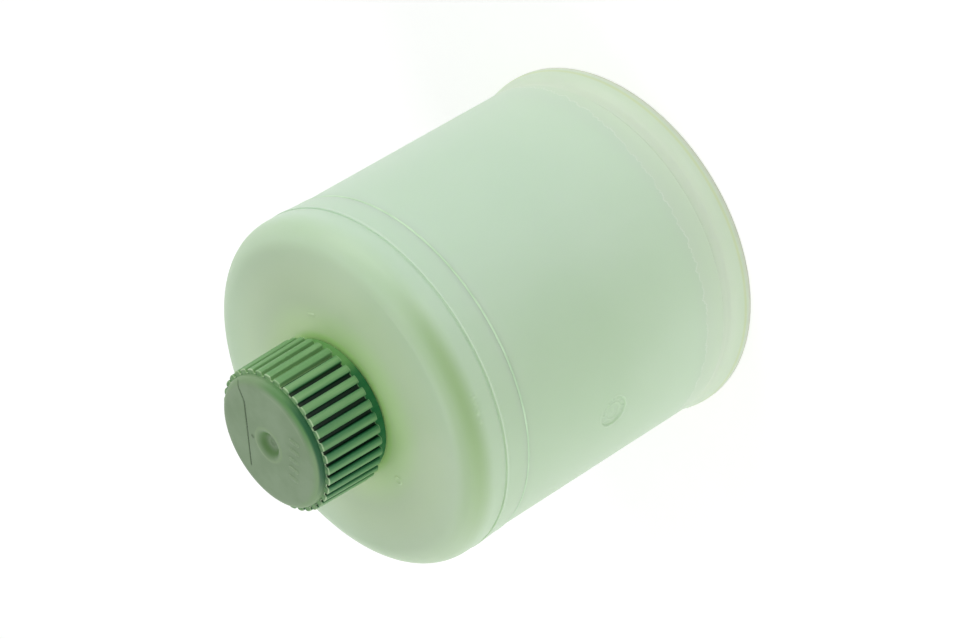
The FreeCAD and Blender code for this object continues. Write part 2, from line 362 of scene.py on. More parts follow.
class Finish:
    """A material under construction round one Principled shader."""

    def __init__(self, name, **constants):
        self.material = bpy.data.materials.new(name)
        self.material.use_nodes = True
        self.tree = self.material.node_tree
        self.shader = self.tree.nodes["Principled BSDF"]
        for socket, value in constants.items():
            self.set(socket.replace("_", " ").title().replace("Ior", "IOR"), value)

    @classmethod
    def on_tree(cls, tree):
        """The same tools on another node tree, such as the world's."""
        finish = cls.__new__(cls)
        finish.tree = tree
        return finish

    def feed(self, socket, value):
        """Sets a socket to a number or colour, or links a signal to it."""
        if isinstance(value, Signal):
            self.tree.links.new(value.socket, socket)
        else:
            socket.default_value = value

    def set(self, socket, value):
        """Sets or links a socket of the shader."""
        self.feed(self.shader.inputs[socket], value)

    def node(self, kind, settings, output, inputs):
        """Adds a node, with its settings first and then its sockets, and returns one of its outputs."""
        node = self.tree.nodes.new(kind)
        for name, value in settings.items():
            setattr(node, name, value)
        for name, value in inputs.items():
            self.feed(node.inputs[name], value)
        return Signal(self, node.outputs[output])

    def maths(self, operation, *values):
        """Result of a Math node on numbers and signals."""
        return self.node("ShaderNodeMath", {"operation": operation}, 0, dict(enumerate(values)))

    def seen_ray(self):
        """1 for rays from the camera, a gloss or a clear piece, and 0 for the rays that light the scene."""
        kinds = ("Is Camera Ray", "Is Glossy Ray", "Is Transmission Ray")
        first, second, third = [self.node("ShaderNodeLightPath", {}, kind, {}) for kind in kinds]
        return first.maths("MAXIMUM", second).maths("MAXIMUM", third)

    def place(self):
        """Object coordinates, in metres."""
        return self.node("ShaderNodeTexCoord", {}, "Object", {})

    def cylinder(self):
        """Object coordinates, the distance from the axis and the height.

        Also keeps the coordinates laid flat, for noise that doesn't change with the height, and for facing.
        """
        place = self.place()
        east, north, height = [self.node("ShaderNodeSeparateXYZ", {}, axis, {0: place}) for axis in "XYZ"]
        self.flat = self.node("ShaderNodeCombineXYZ", {}, "Vector", {"X": east, "Y": north})
        self.radius = (east * east + north * north).maths("SQRT")
        return place, self.radius, height

    def facing(self, angle):
        """Cosine between the direction out from the axis and a direction given in degrees."""
        way = (math.cos(math.radians(angle)), math.sin(math.radians(angle)), 0.0)
        inputs = {0: self.flat, 1: way}
        return self.node("ShaderNodeVectorMath", {"operation": "DOT_PRODUCT"}, "Value", inputs) / self.radius

    def layer(self, name):
        """A value that the mesh carries at its points."""
        return self.node("ShaderNodeAttribute", {"attribute_name": name}, "Fac", {})

    def noise(self, vector, scale, detail=2.0, roughness=0.5):
        """Smooth noise about 0.5."""
        inputs = {"Vector": vector, "Scale": scale, "Detail": detail, "Roughness": roughness}
        return self.node("ShaderNodeTexNoise", {}, "Fac", inputs)

    def stretched(self, vector, scale):
        """A vector with each axis scaled."""
        return self.node("ShaderNodeMapping", {}, "Vector", {"Vector": vector, "Scale": scale})

    def mix(self, share, first, second):
        """Colour between two colours, which are the colour node's seventh and eighth sockets."""
        return self.node("ShaderNodeMix", {"data_type": "RGBA"}, 2, {"Factor": share, 6: first, 7: second})

    def coated(self, base, coats):
        """A colour with coats laid over it in turn, each given as its share and its colour."""
        for share, coat in coats:
            base = self.mix(share, base, coat)
        return base

    def surface(self, base, roughness, relief, strength):
        """Feeds the shader its colour, its roughness and a normal from a relief, and gives the material."""
        inputs = {"Height": relief, "Strength": strength, "Distance": 1.0}
        self.set("Base Color", base)
        self.set("Roughness", roughness)
        self.set("Normal", self.node("ShaderNodeBump", {}, "Normal", inputs))
        return self.material


def colour(red, green, blue):
    """Linear colour from display values of 0 to 255."""
    values = np.array([red, green, blue]) / 255
    linear = np.where(values <= 0.04045, values / 12.92, ((values + 0.055) / 1.055) ** 2.4)
    return tuple(float(value) for value in linear) + (1.0,)


def grey(level):
    """Linear grey."""
    return level, level, level, 1.0


# Finishes

LEDGE_SEEN = 18.4 * MM
COLLAR_TOP = 101.2 * MM
DECK_EDGE = (112.5 * MM, 113.6 * MM)
BEND_HEIGHT = 110.5 * MM
NECK_FOOT = (18.8 * MM, 20.5 * MM)
BAND_TOP = (117.2 * MM, 118.2 * MM)


def pale_plastic(name, look):
    """Pale green translucent moulding: soft clouds, the ledge seen through the wall, painted light and
    shade.

    The ledge's edge is a height that dips towards +X and is cut into small steps by noise round the axis.
    Painted light makes the wall paler on one side, low down and over the flare, and glows round the neck;
    painted shade darkens it higher up, on the top's sides and round the shoulder; a painted highlight runs
    along the collar.
    """
    finish = Finish(name, ior=1.5, coat_weight=0.05, subsurface_weight=0.5, subsurface_scale=4 * MM,
                    subsurface_radius=(1.0, 1.08, 0.85), sheen_weight=0.1, sheen_roughness=0.35,
                    sheen_tint=(0.78, 1.0, 0.7, 1.0))
    place, radius, height = finish.cylinder()
    cloud = finish.noise(place, 17.0)
    flow = finish.noise(finish.stretched(place, (55.0, 55.0, 9.0)), 1.0)
    grain = finish.noise(place, 1900.0)
    dip = finish.facing(0).maths("MAXIMUM", 0.0)
    teeth = finish.noise(finish.flat, 330.0, 3.0, 0.65).maths("SNAP", 0.06)
    fine_teeth = finish.noise(finish.flat, 1100.0)
    streaks = finish.noise(finish.flat, 240.0).step(0.3, 0.62)
    ledge = LEDGE_SEEN - dip * dip * (7 * MM) + (teeth - 0.5) * (4.2 * MM) + (fine_teeth - 0.5) * (1.2 * MM)
    below = 1 - (height - ledge).step(-0.2 * MM, 0.2 * MM)
    ledge_line = height.near(ledge, 0.4 * MM) * (0.15 + streaks * 0.85)
    # Painted light: the wall paler and bluer on its side towards -35 degrees, below the top.
    painted_lit_side = finish.facing(-35).step(0.1, 0.95) * (1 - height.step(104 * MM, 112 * MM))
    # Painted shade: the wall darker higher up, except on the painted lit side and on the top.
    climb = height.step(20 * MM, 100 * MM) * (1 - painted_lit_side) * (1 - height.step(106 * MM, 112 * MM))
    deck = height.step(*DECK_EDGE)
    by_neck = deck * radius.step(*NECK_FOOT)
    # -116 degrees, the shaded side, where the shoulder also gets painted shade.
    # Painted light: the crown colour is a glow round the neck, reaching further and a little darker towards
    shaded_side = finish.facing(-116)
    reach = 34.5 * MM + shaded_side.step(0.5, 1.0) * (1.5 * MM)
    crown = finish.mix(shaded_side.step(-0.1, 0.75), colour(208, 236, 180), look.crown)
    # Painted shade on the shoulder's side towards -162 degrees and on the top's side towards -42 degrees.
    far_dim = finish.facing(-162).step(0.1, 1.0) * height.step(104 * MM, 111 * MM)
    near_dim = finish.facing(-42).step(0.3, 1.0) * deck
    # Painted shade: a darker band round the shoulder, strongest towards -116 degrees.
    bend = height.near(BEND_HEIGHT, 4.5 * MM) * radius.step(47 * MM, 50.5 * MM)
    # Painted highlight along the collar's top, on the side towards -Y.
    collar_line = height.near(COLLAR_TOP, 0.5 * MM) * finish.facing(-90).step(0.35, 1.0)
    wall = finish.mix(cloud.step(0.3, 0.7), look.wall_shade, look.wall)
    wall = finish.coated(wall, [
        (flow.step(0.5, 0.85) * 0.2, colour(214, 229, 208)),
        (painted_lit_side * 0.7, colour(198, 222, 200)),
        (climb * 0.45, colour(182, 208, 174)),
        # Painted light: the wall paler low down.
        ((1 - height.step(10 * MM, 60 * MM)) * 0.45, colour(208, 230, 203)),
        # Paler below the ledge and on the skirt: partly the thinner wall, partly painted light low down.
        (below * 0.35, look.skirt),
        ((1 - height.step(4 * MM, 18 * MM)) * 0.6, look.skirt),
        (ledge_line * 0.45, colour(230, 242, 226)),
        # Painted light over the flare's groove, taking away its shade.
        (height.near(8 * MM, 4 * MM) * 0.35, colour(224, 238, 214)),
        (height.near(2.3 * MM, 0.7 * MM) * 0.55, colour(206, 219, 160)),
        ((1 - height.step(0.6 * MM, 1.8 * MM)) * 0.5, colour(224, 226, 204)),
        (deck * (1 - radius.step(36 * MM, 50 * MM)) * 0.5, colour(201, 223, 181)),
        (far_dim * 0.32, colour(162, 182, 144)),
        (near_dim * 0.24, colour(162, 184, 140)),
        (by_neck * (1 - radius.step(22.5 * MM, reach)) * 0.9, crown),
        (bend * (0.1 + shaded_side.step(0.62, 1.0) * 0.8), colour(150, 182, 126)),
        (collar_line * 0.3, colour(220, 238, 214)),
        # Painted light next to the neck, against the shade under the cap.
        (by_neck * (1 - radius.step(21.4 * MM, 23.6 * MM)) * 0.7, colour(186, 236, 138)),
    ])
    relief = cloud * 0.0001 + grain * 0.000012 + flow * 0.00003
    return finish.surface(wall, 0.36 + grain * 0.1 + cloud * 0.08, relief, 0.35)


def bead_plastic(name):
    """The weld's bead: the tank's plastic, stretched thin and a little paler in patches."""
    finish = Finish(name, ior=1.5, specular_ior_level=0.3)
    nicks = finish.noise(finish.place(), 90.0, 2.0, 0.6)
    paler = finish.mix(nicks.step(0.4, 0.65), colour(190, 221, 184), colour(204, 233, 198))
    return finish.surface(paler, 0.4 + nicks * 0.1, nicks * 0.00006, 0.4)


def cap_green(name, look):
    """Mid green moulding: greyer on the face, a painted sheen, and fresher on the grip.

    Painted shade makes it near black down between the ribs and darker on the ribs' sides, more so on the
    side towards -128 degrees, round the lid's edge, in the dimple and in a ring round the dot. Painted light
    makes the ribs, grooves and band paler towards +X, on the side of a rib that leans that way, and a
    painted highlight runs along the ribs' sharp edges.
    """
    finish = Finish(name, ior=1.5, specular_ior_level=0.18, subsurface_weight=0.05,
                    subsurface_radius=(0.6, 1.0, 0.5), subsurface_scale=1.0 * MM, coat_weight=0.03)
    place, radius, height = finish.cylinder()
    cloud = finish.noise(place, 85.0, 3.0, 0.6)
    grain = finish.noise(place, 2600.0)
    drawn = finish.noise(finish.stretched(place, (700.0, 700.0, 45.0)), 1.0, 3.0)
    swirl = finish.noise(place, 210.0, 4.0, 0.6)
    lean = finish.layer("lean")
    depth = finish.layer("groove")
    # Directions round the axis that place painted light and shade: lower, front and teal shaded, upper lit.
    lower = finish.facing(-128).step(0.72, 0.97)
    upper = finish.facing(-20).step(0.42, 0.98)
    front = finish.facing(-76).step(0.72, 0.98)
    teal = finish.facing(-112).step(0.6, 0.95)
    # Painted light: the ribs' sides, the grooves and the band paler towards -20 degrees.
    lit = upper.step(0.4, 1.0) * (1 - lean.step(-0.7, 1.25))
    flank = finish.mix(lit, look.flank, colour(118, 162, 104))
    groove = finish.mix(lit, look.groove, colour(134, 176, 116))
    groove = finish.mix(upper.step(0.7, 1.0) * 0.35, groove, colour(110, 156, 96))
    band = finish.mix(upper.step(0.0, 0.6), look.band, colour(104, 156, 90))
    # Painted shade on the lid's rounded edge, darker on its side towards -76 degrees.
    lid_edge = finish.mix(front * 0.8, colour(126, 154, 114), colour(84, 134, 76))
    # Painted shade in the dimple.
    sunk = radius.near(3.2 * MM, 1.7 * MM) * height.step(134.5 * MM, 136.5 * MM)
    # Painted highlight along the ribs' sharp edges, broken up by noise.
    edge_glint = finish.layer("edge") * (0.45 + finish.noise(place, 500.0, 3.0).step(0.35, 0.6) * 0.55)
    face = finish.coated(finish.mix(cloud.step(0.3, 0.7), look.face_shade, look.face), [
        (sunk * 0.75, colour(78, 120, 58)),
        (finish.layer("raised") * 0.5, colour(160, 180, 148)),
        (radius.near(5.3 * MM, 0.9 * MM) * 0.25, colour(150, 178, 128)),
        (radius.step(18.1 * MM, 19.9 * MM), lid_edge),
        # Painted shade at the lid's edge towards -112 degrees, and a faint painted highlight line at the
        # face's border.
        (radius.step(19.7 * MM, 20.4 * MM) * teal * 0.9, colour(22, 84, 52)),
        (radius.near(17.8 * MM, 0.5 * MM) * front * 0.2, colour(160, 180, 146)),
    ])
    side = finish.coated(finish.mix(drawn.step(0.3, 0.7), look.crest_shade, look.crest), [
        # Painted shade: each rib darker towards its sides, and towards -128 degrees darker on its
        # higher-angle side.
        (abs(lean).step(0.15, 1.1) * 0.5, flank),
        (lower * lean.step(-0.9, 0.8) * 0.7, flank),
    ])
    plastic = finish.coated(finish.mix(finish.layer("grip"), face, side), [
        # Painted shade down the ribs' sides and near black between the ribs.
        (depth.step(0.02, 0.45), flank),
        (depth.step(0.35, 0.85), groove),
        ((1 - height.step(*BAND_TOP)) * 0.9, band),
        (edge_glint * 0.85, colour(184, 210, 168)),
        # Darker in the slit, and painted shade in a ring round the dot.
        (finish.layer("slit"), colour(38, 58, 36)),
    ])
    relief = swirl * 0.00004 + grain * 0.00001 + drawn * 0.00002
    return finish.surface(plastic, 0.34 + grain * 0.12 + cloud * 0.1, relief, 0.4)


def black_rubber(name):
    """Black rubber: a faint bloom over fine moulding grain."""
    finish = Finish(name, ior=1.5, coat_weight=0.02)
    place = finish.place()
    bloom = finish.noise(place, 130.0, 4.0, 0.6)
    grain = finish.noise(place, 2400.0)
    black = finish.mix(bloom.step(0.35, 0.75), colour(26, 26, 27), colour(50, 51, 52))
    return finish.surface(black, 0.5 + bloom * 0.2, grain * 0.00002 + bloom * 0.00003, 0.5)


def natural_plastic(name, light, shade):
    """Undyed moulding of the small inner pieces: cloudy, slightly waxy."""
    finish = Finish(name, subsurface_weight=0.25, subsurface_radius=(1.0, 0.95, 0.8),
                    subsurface_scale=1.5 * MM, ior=1.5, coat_weight=0.04)
    place = finish.place()
    cloud = finish.noise(place, 150.0, 3.0, 0.6)
    grain = finish.noise(place, 2200.0)
    cloudy = finish.mix(cloud.step(0.3, 0.7), shade, light)
    return finish.surface(cloudy, 0.4 + cloud * 0.15, grain * 0.000015 + cloud * 0.00004, 0.4)


def woven_mesh(name, pitch):
    """Open weave: threads where either direction's wave is high, holes between them."""
    finish = Finish(name, ior=1.5)
    across, along = [abs((finish.layer(way) * (math.pi / pitch)).maths("SINE")) for way in ("warp", "weft")]
    thread = across.maths("MAXIMUM", along)
    shade = finish.mix(finish.noise(finish.place(), 300.0), colour(196, 200, 184), colour(226, 229, 216))
    finish.set("Alpha", thread.step(0.72, 0.8))
    return finish.surface(shade, 0.6, thread * 0.00012, 0.8)


def stage_white(name):
    """Pale floor: white to the camera where no shadow falls on it, and more so far from the middle."""
    finish = Finish(name, roughness=0.9, emission_strength=1.0)
    place, radius, _ = finish.cylinder()
    finish.set("Base Color", finish.mix(finish.noise(place, 40.0), grey(0.80), grey(0.82)))
    glow = finish.mix(radius.step(0.5, 1.6), grey(0.36), grey(0.56))
    finish.set("Emission Color", finish.mix(finish.seen_ray(), grey(0.0), glow))
    return finish.material


# Sizes and colours that a user would change

def paint(name, use, *shade):
    """Setting for a colour, with display values of 0 to 255 as its default."""
    return FloatVectorProperty(
        name=name, description=use, subtype="COLOR", size=4, default=colour(*shade), min=0, max=1)


def measure(name, use, default, low, high, unit="LENGTH"):
    """Setting for a length in metres, or for a number in another unit."""
    return FloatProperty(name=name, description=use, unit=unit, default=default, min=low, max=high)


def amount(name, use, default, low, high):
    """Setting for a whole number."""
    return IntProperty(name=name, description=use, default=default, min=low, max=high)


class TankLook(PropertyGroup):
    """Sizes and colours of the tank's two mouldings."""
    wall: paint("Wall", "Colour of the wall's lighter clouds", 197, 220, 191)
    wall_shade: paint("Wall shade", "Colour of the wall's darker clouds", 188, 214, 181)
    skirt: paint("Skirt", "Colour of the thinner skirt", 212, 228, 202)
    # Crown is painted light: a glow on the top round the neck.
    crown: paint("Crown", "Colour of the top round the neck", 190, 226, 158)
    columns: amount("Columns", "Points round the tank in each gusset's share", 9, 6, 24)
    flash: measure("Weld flash", "Height of the bead squeezed out of the weld", 0.24 * MM, 0, 1 * MM)


class CapLook(PropertyGroup):
    """Sizes and colours of the filler cap."""
    face: paint("Face", "Colour of the face", 134, 156, 126)
    face_shade: paint("Face shade", "Colour of the face's darker clouds", 124, 147, 115)
    crest: paint("Crest", "Colour of a rib's outer face", 128, 170, 117)
    crest_shade: paint("Crest shade", "Colour of the darker streaks on a rib", 110, 157, 102)
    # Flank and groove are painted shade on the ribs' sides and deep between them.
    flank: paint("Flank", "Colour of a rib's sides", 34, 104, 66)
    groove: paint("Groove", "Colour deep between the ribs", 4, 34, 18)
    band: paint("Band", "Colour of the plain band under the ribs", 24, 100, 58)
    ribs: amount("Ribs", "Grip ribs round the cap", 36, 12, 60)
    rib_width: measure("Rib width", "Width of a rib", 2.65 * MM, 1 * MM, 3 * MM)
    pitch: measure("Thread pitch", "Rise of the thread in one turn", 4.5 * MM, 2 * MM, 8 * MM)


class InnerLook(PropertyGroup):
    """Sizes of the pieces inside the tank."""
    weave: measure("Weave pitch", "Distance between the strainer's threads", 0.55 * MM, 0.2 * MM, 2 * MM)
    seal_bulge: measure("Seal bulge", "How far a seal's sides stand proud", 0.12 * MM, 0, 0.5 * MM)


class StageLook(PropertyGroup):
    """Floor, light and camera."""
    floor: measure("Floor", "Width of the floor", 8.0, 1, 40)
    right: measure("Right light", "Power of the lamp on +X in watts", 4.0, 0, 99, "POWER")
    left: measure("Left light", "Power of the lamp on -X in watts", 4.25, 0, 99, "POWER")
    front: measure("Front light", "Power of the lamp on -Y in watts", 2.5, 0, 99, "POWER")
    surround: measure("Surround", "Strength of the room's light", 0.645, 0, 2, "NONE")
    lens: measure("Lens", "Focal length in millimetres on a 36 mm wide frame", 80.25, 20, 200, "CAMERA")


class ReservoirLook(PropertyGroup):
    """All the settings of the reservoir."""
    tank: PointerProperty(type=TankLook)
    cap: PointerProperty(type=CapLook)
    inner: PointerProperty(type=InnerLook)
    stage: PointerProperty(type=StageLook)


# Pieces

GUSSETS = 24
GUSSET_WIDTH = 1.6 * MM
GUSSET_HEIGHT = 6 * MM
GUSSET_DEPTH = 2.2 * MM
MARK_ANGLE = math.radians(-139.8)
MARK_HEIGHT = 58.1 * MM
MARK_RADIUS = 5.0 * MM
MARK_DEPTH = 0.4 * MM


def barrel_section():
    """Barrel's half-section, from the mouth's rim up the outside and down the inside."""
    mouth = widest("barrel", 0, 2 * MM)
    foot, weld = wall_radii()
    bore = foot - 2.4 * MM
    groove = foot - 0.8 * MM
    end = top("barrel") - 0.05 * MM
    seat = bottom("baffle") + 3.3 * MM
    seat_radius = widest("baffle", seat, top("barrel")) + 0.2 * MM
    ledge = top("pump_seal") + 0.03 * MM
    ledge_top = ledge + 2 * MM
    tip = bore - 3.0 * MM
    gland = widest("pump_seal", ledge - 4 * MM, ledge) + 0.03 * MM
    gland_foot = ledge - 4.2 * MM
    return rounded([
        (mouth - 1.2 * MM, 0, 0.3 * MM, 3), (mouth, 0, 0.35 * MM, 4), (mouth, 1.6 * MM, 0.4 * MM, 3),
        (mouth - 0.75 * MM, 4.4 * MM, 6 * MM, 6), (groove, 7.2 * MM, 3 * MM, 6),
        (groove, 10.0 * MM, 0.8 * MM, 4), (foot, 10.9 * MM, 0.5 * MM, 4), (weld, end, 0.12 * MM, 2),
        (seat_radius, end, 0.1 * MM, 1), (seat_radius, seat, 0, 0),
        (barrel_line(seat) - WALL, seat, 0.2 * MM, 2),
        (barrel_line(ledge_top) - WALL, ledge_top, 0.8 * MM, 4),
        (tip, ledge_top, 0.4 * MM, 3), (tip, ledge, 0.4 * MM, 3), (gland, ledge, 0.3 * MM, 2),
        (gland, gland_foot, 0.2 * MM, 2), (bore, gland_foot, 0.3 * MM, 2), (bore, 7.8 * MM, 6 * MM, 5),
        (mouth - 2.4 * MM, 0.3 * MM, 0.4 * MM, 3),
    ])


def barrel_angles(columns):
    """Angles with a close group at each gusset's flanks and across the round mark."""
    half = math.asin(GUSSET_WIDTH / 2 / float(rings("barrel")[0].min()))
    flank = np.array([-1.25, -1.0, -0.9, -0.5, 0, 0.5, 0.9, 1.0, 1.25]) * half
    between = np.linspace(1.9 * half, FULL_TURN / GUSSETS - 1.9 * half, columns)
    groups = (even_angles(GUSSETS)[:, None] + np.concatenate([flank, between])).ravel()
    reach = 1.25 * MARK_RADIUS / wall_radii()[0]
    return merged_angles(groups, np.linspace(MARK_ANGLE - reach, MARK_ANGLE + reach, 56))


def barrel_relief(angle, radius, height):
    """Rise of the barrel's surface: sunk round mark with its dial, gussets inside, slight mould waviness.

    The mark sinks by depth times a smooth step across its edge. Its ring stands up by a bell about 0.6 of
    its radius, and its ticks by a bell about 0.8 of it times a pulse in the angle about the mark's middle. A
    gusset stands in from the wall by its triangle's depth at that height times a smooth pulse in angle.
    """
    line = barrel_line(height)
    side = wrapped(angle - MARK_ANGLE) * radius
    level = height - MARK_HEIGHT
    off = np.hypot(side, level)
    sunk = MARK_DEPTH * (1 - smooth_step(off, MARK_RADIUS - 0.22 * MM, MARK_RADIUS + 0.05 * MM))
    lip = 0.14 * MM * bell(off - MARK_RADIUS - 0.25 * MM, 0.25 * MM)
    ring = 0.2 * MM * bell(off - 0.56 * MARK_RADIUS, 0.2 * MM)
    pulse = smooth_step(np.cos(12 * np.arctan2(level, side)), 0.5, 0.9)
    ticks = 0.2 * MM * pulse * bell(off - 0.78 * MARK_RADIUS, 0.4 * MM)
    dot = 0.25 * MM * bell(off, 0.6 * MM)
    wave = 0.04 * MM * np.sin(3 * angle + 0.6) * smooth_step(height, 12 * MM, 40 * MM)
    outside = (radius > line - 0.5 * MM) & (height > 11 * MM) & (height < WELD_BAND[0])
    rise = np.where(outside, wave - sunk + lip + ring + ticks + dot, 0)
    up = height - top("pump_seal") - 2.03 * MM
    depth = np.clip(1 - up / GUSSET_HEIGHT, 0, 1) * GUSSET_DEPTH
    off = np.abs(wrapped(angle * GUSSETS)) / GUSSETS * radius
    pulse = 1 - smooth_step(off, GUSSET_WIDTH / 2 - 0.08 * MM, GUSSET_WIDTH / 2 + 0.08 * MM)
    inside = (radius < line - 1.5 * MM) & (up > 0.3 * MM) & (up < GUSSET_HEIGHT + 0.2 * MM)
    return np.where(inside, depth * pulse, rise)


class RESERVOIR_OT_barrel(Operator):
    """Make the tapered lower moulding."""
    bl_idname = "reservoir.barrel"
    bl_label = "Barrel"

    def execute(self, context):
        look = context.scene.reservoir.tank
        section = barrel_section()
        inner = run_to(section, 27 * MM, side=-1)
        fine = [close_to(run_to(section, MARK_HEIGHT), 6.2 * MM, 0.2 * MM)]
        fine.append((inner - 2 * MM, inner + 7 * MM, 0.7 * MM))
        points = turned(refined(section, 5 * MM, fine), barrel_angles(look.columns), barrel_relief)
        plastic = pale_plastic("barrel plastic", look)
        fit(new_mesh("barrel_shell", points), "tank", "tank_plastic", plastic, "barrel")
        return {"FINISHED"}


NECK = 18.2 * MM
DECK_RISE = 20.7 * MM


def dome_section():
    """Upper moulding's half-section, from the seam up the outside, over the neck and down the inside."""
    seam = bottom("dome")
    collar = widest("dome", seam - 1 * MM, seam + 1 * MM)
    side = collar + 0.05 * MM
    groove = side - 0.3 * MM
    deck = seam + DECK_RISE
    crown = deck + 0.5 * MM
    neck_top = bottom("cap_seal") - 1.0 * MM
    bore = NECK - 2.4 * MM
    inner = side - WALL
    return rounded([
        (inner, seam, 0.1 * MM, 1), (collar, seam, 0.12 * MM, 3),
        (collar + 0.2 * MM, seam + 8.5 * MM, 0.12 * MM, 3), (groove, seam + 8.55 * MM, 0.08 * MM, 2),
        (groove, seam + 9.3 * MM, 0.1 * MM, 2), (side, seam + 9.35 * MM, 0.1 * MM, 2),
        (side, deck, 8 * MM, 18), (NECK + 0.05 * MM, crown, 1.0 * MM, 5), (NECK, neck_top, 0.4 * MM, 4),
        (bore, neck_top, 0.3 * MM, 3), (bore, crown - WALL, 1.2 * MM, 4), (side - 8 * MM, deck - WALL, 0, 0),
        (inner, deck - WALL, 5.4 * MM, 10),
    ])


DOTS = 4
DOTS_ANGLE = math.radians(-112)
DOTS_HEIGHT = 107.6 * MM
DOTS_STEP = 2.5 * MM
DECK_MARK_RADIUS = 28.3 * MM
DECK_RING_ANGLE = math.radians(-165.8)
DECK_BAR_ANGLE = math.radians(-27.5)
RIDGE_RISE = 8.3 * MM


def bar(along, across, length, width, soft):
    """1 inside a round-ended bar, fading over soft at its edge: the distance is to the bar's middle line."""
    past = np.maximum(np.abs(along) - (length - width) / 2, 0)
    return 1 - smooth_step(np.hypot(past, across), width / 2 - soft / 2, width / 2 + soft / 2)


def dome_relief(angle, radius, height):
    """Rise of the dome's surface: ridge at the collar's top, dots on the shoulder, ring and bar on the deck.

    The ridge is a bell about its line, its height varied by sines of the angle. The dots are bells, the ring
    a bell about its radius, and the bar is raised by a smooth step across its edge.
    """
    seam = bottom("dome")
    outer = widest("dome", seam, seam + 10 * MM)
    flash = bpy.context.scene.reservoir.tank.flash
    waver = 0.8 + 0.16 * np.sin(7 * angle + 1.0) + 0.12 * np.sin(19 * angle) + 0.1 * np.sin(43 * angle + 2.0)
    waver *= 0.6 + 0.3 * np.cos(angle - math.radians(-105))
    rise = flash * waver * bell(height - seam - RIDGE_RISE, 0.3 * MM) * (radius > outer - 1.2 * MM)
    side = wrapped(angle - DOTS_ANGLE) * outer
    shoulder = (height > seam + 10 * MM) & (radius > outer - 5 * MM)
    for number in range(DOTS):
        off = np.hypot(side - (number - (DOTS - 1) / 2) * DOTS_STEP, height - DOTS_HEIGHT)
        rise += 0.25 * MM * bell(off, 0.55 * MM) * shoulder
    deck = (height > seam + 18 * MM) & (radius > 22 * MM) & (radius < outer - 8 * MM)
    out = radius - DECK_MARK_RADIUS
    off = np.hypot(wrapped(angle - DECK_RING_ANGLE) * radius, out)
    rise += 0.2 * MM * bell(off - 1.1 * MM, 0.25 * MM) * deck
    side = wrapped(angle - DECK_BAR_ANGLE) * radius
    rise += 0.13 * MM * bar(side, out, 2.8 * MM, 0.7 * MM, 0.4 * MM) * deck
    sink = 0.1 * MM * np.cos(2 * angle + 0.8) * smooth_step(radius, 24 * MM, 40 * MM)
    return rise + np.where(deck, sink * (1 - smooth_step(radius, outer - 13 * MM, outer - 8.5 * MM)), 0)


def weld_bead(flash):
    """Bead squeezed out all round the weld: an oval ring on the seam that stands prouder at some angles.

    Its section is (r + p cos b, z + 0.36 mm sin b) for b round the oval, with p the flash times a sum of
    sines of the angle.
    """
    seam = bottom("dome")
    radius = widest("dome", seam - 1 * MM, seam + 1 * MM) - 0.03 * MM
    turn = even_angles(12)[:, None]
    angle = even_angles(480)
    proud = flash * (0.5 + 0.25 * np.cos(angle + math.radians(95)))
    proud = proud + flash * (0.06 * np.sin(9 * angle) + 0.04 * np.sin(31 * angle + 2.0))
    reach = radius + proud * np.cos(turn)
    level = seam + 0.05 * MM + 0.36 * MM * np.sin(turn) + 0 * angle
    return new_mesh("weld_bead", np.stack([reach * np.cos(angle), reach * np.sin(angle), level], -1))


THREAD_START = 118.0 * MM
SEAM_DETAIL = 93.2 * MM
GROOVE_DETAIL = 101.0 * MM


class RESERVOIR_OT_dome(Operator):
    """Make the welded upper moulding with its threaded neck."""
    bl_idname = "reservoir.dome"
    bl_label = "Dome"

    def execute(self, context):
        look = context.scene.reservoir.tank
        section = dome_section()
        mark = run_to(section, DECK_MARK_RADIUS, axis=0, rank=1)
        shoulder = run_to(section, DOTS_HEIGHT)
        fine = [close_to(mark, 2.2 * MM, 0.22 * MM), close_to(shoulder, 1.6 * MM, 0.22 * MM)]
        for level in (SEAM_DETAIL, GROOVE_DETAIL):
            fine.append(close_to(run_to(section, level), 1 * MM, 0.15 * MM))
        close = [np.linspace(DOTS_ANGLE - 0.09, DOTS_ANGLE + 0.09, 48)]
        for middle in (DECK_RING_ANGLE, DECK_BAR_ANGLE):
            close.append(np.linspace(middle - 0.08, middle + 0.08, 24))
        angles = merged_angles(even_angles(360), *close)
        points = turned(refined(section, 2.6 * MM, fine), angles, dome_relief)
        plastic = pale_plastic("dome plastic", look)
        fit(new_mesh("dome_shell", points), "tank", "tank_plastic", plastic, "dome")
        fit(weld_bead(look.flash), "tank", "tank_plastic", bead_plastic("weld plastic"))
        pitch = context.scene.reservoir.cap.pitch
        ridge = screw_ridge("neck_thread", NECK, 1.0 * MM, 2.1 * MM, THREAD_START, pitch, 2.6)
        fit(ridge, "tank", "tank_plastic", plastic)
        return {"FINISHED"}


DIMPLE_RADIUS = 4.8 * MM
DIMPLE_FLOOR = 1.9 * MM
DIMPLE_DEPTH = 1.8 * MM
SLIT = ((-2.1 * MM, 14.5 * MM), (14.0 * MM, -1.1 * MM), (20.4 * MM, -3.1 * MM))
DOT = (4.4 * MM, 5.1 * MM)
BARS = 5
BARS_STEP = 3.4 * MM
BARS_MIDDLE = (-7.4 * MM, -7.9 * MM)
BARS_ANGLE = math.radians(-51.5)
BARS_HEIGHT = 0.4 * MM
RIB_PHASE = math.radians(-2)
RIB_SOFT = 0.16 * MM
RIB_CROWN = 0.35 * MM
RIBS_RISE = 3.3 * MM
CREST_HIGH = 22.3 * MM
ROOT_LOW = 21.35 * MM
ROOT_HIGH = 21.1 * MM


def crest_low():
    """Radius of the ribs' crests at their foot."""
    foot = bottom("filler_cap") + RIBS_RISE
    return widest("filler_cap", foot, foot + 2 * MM)


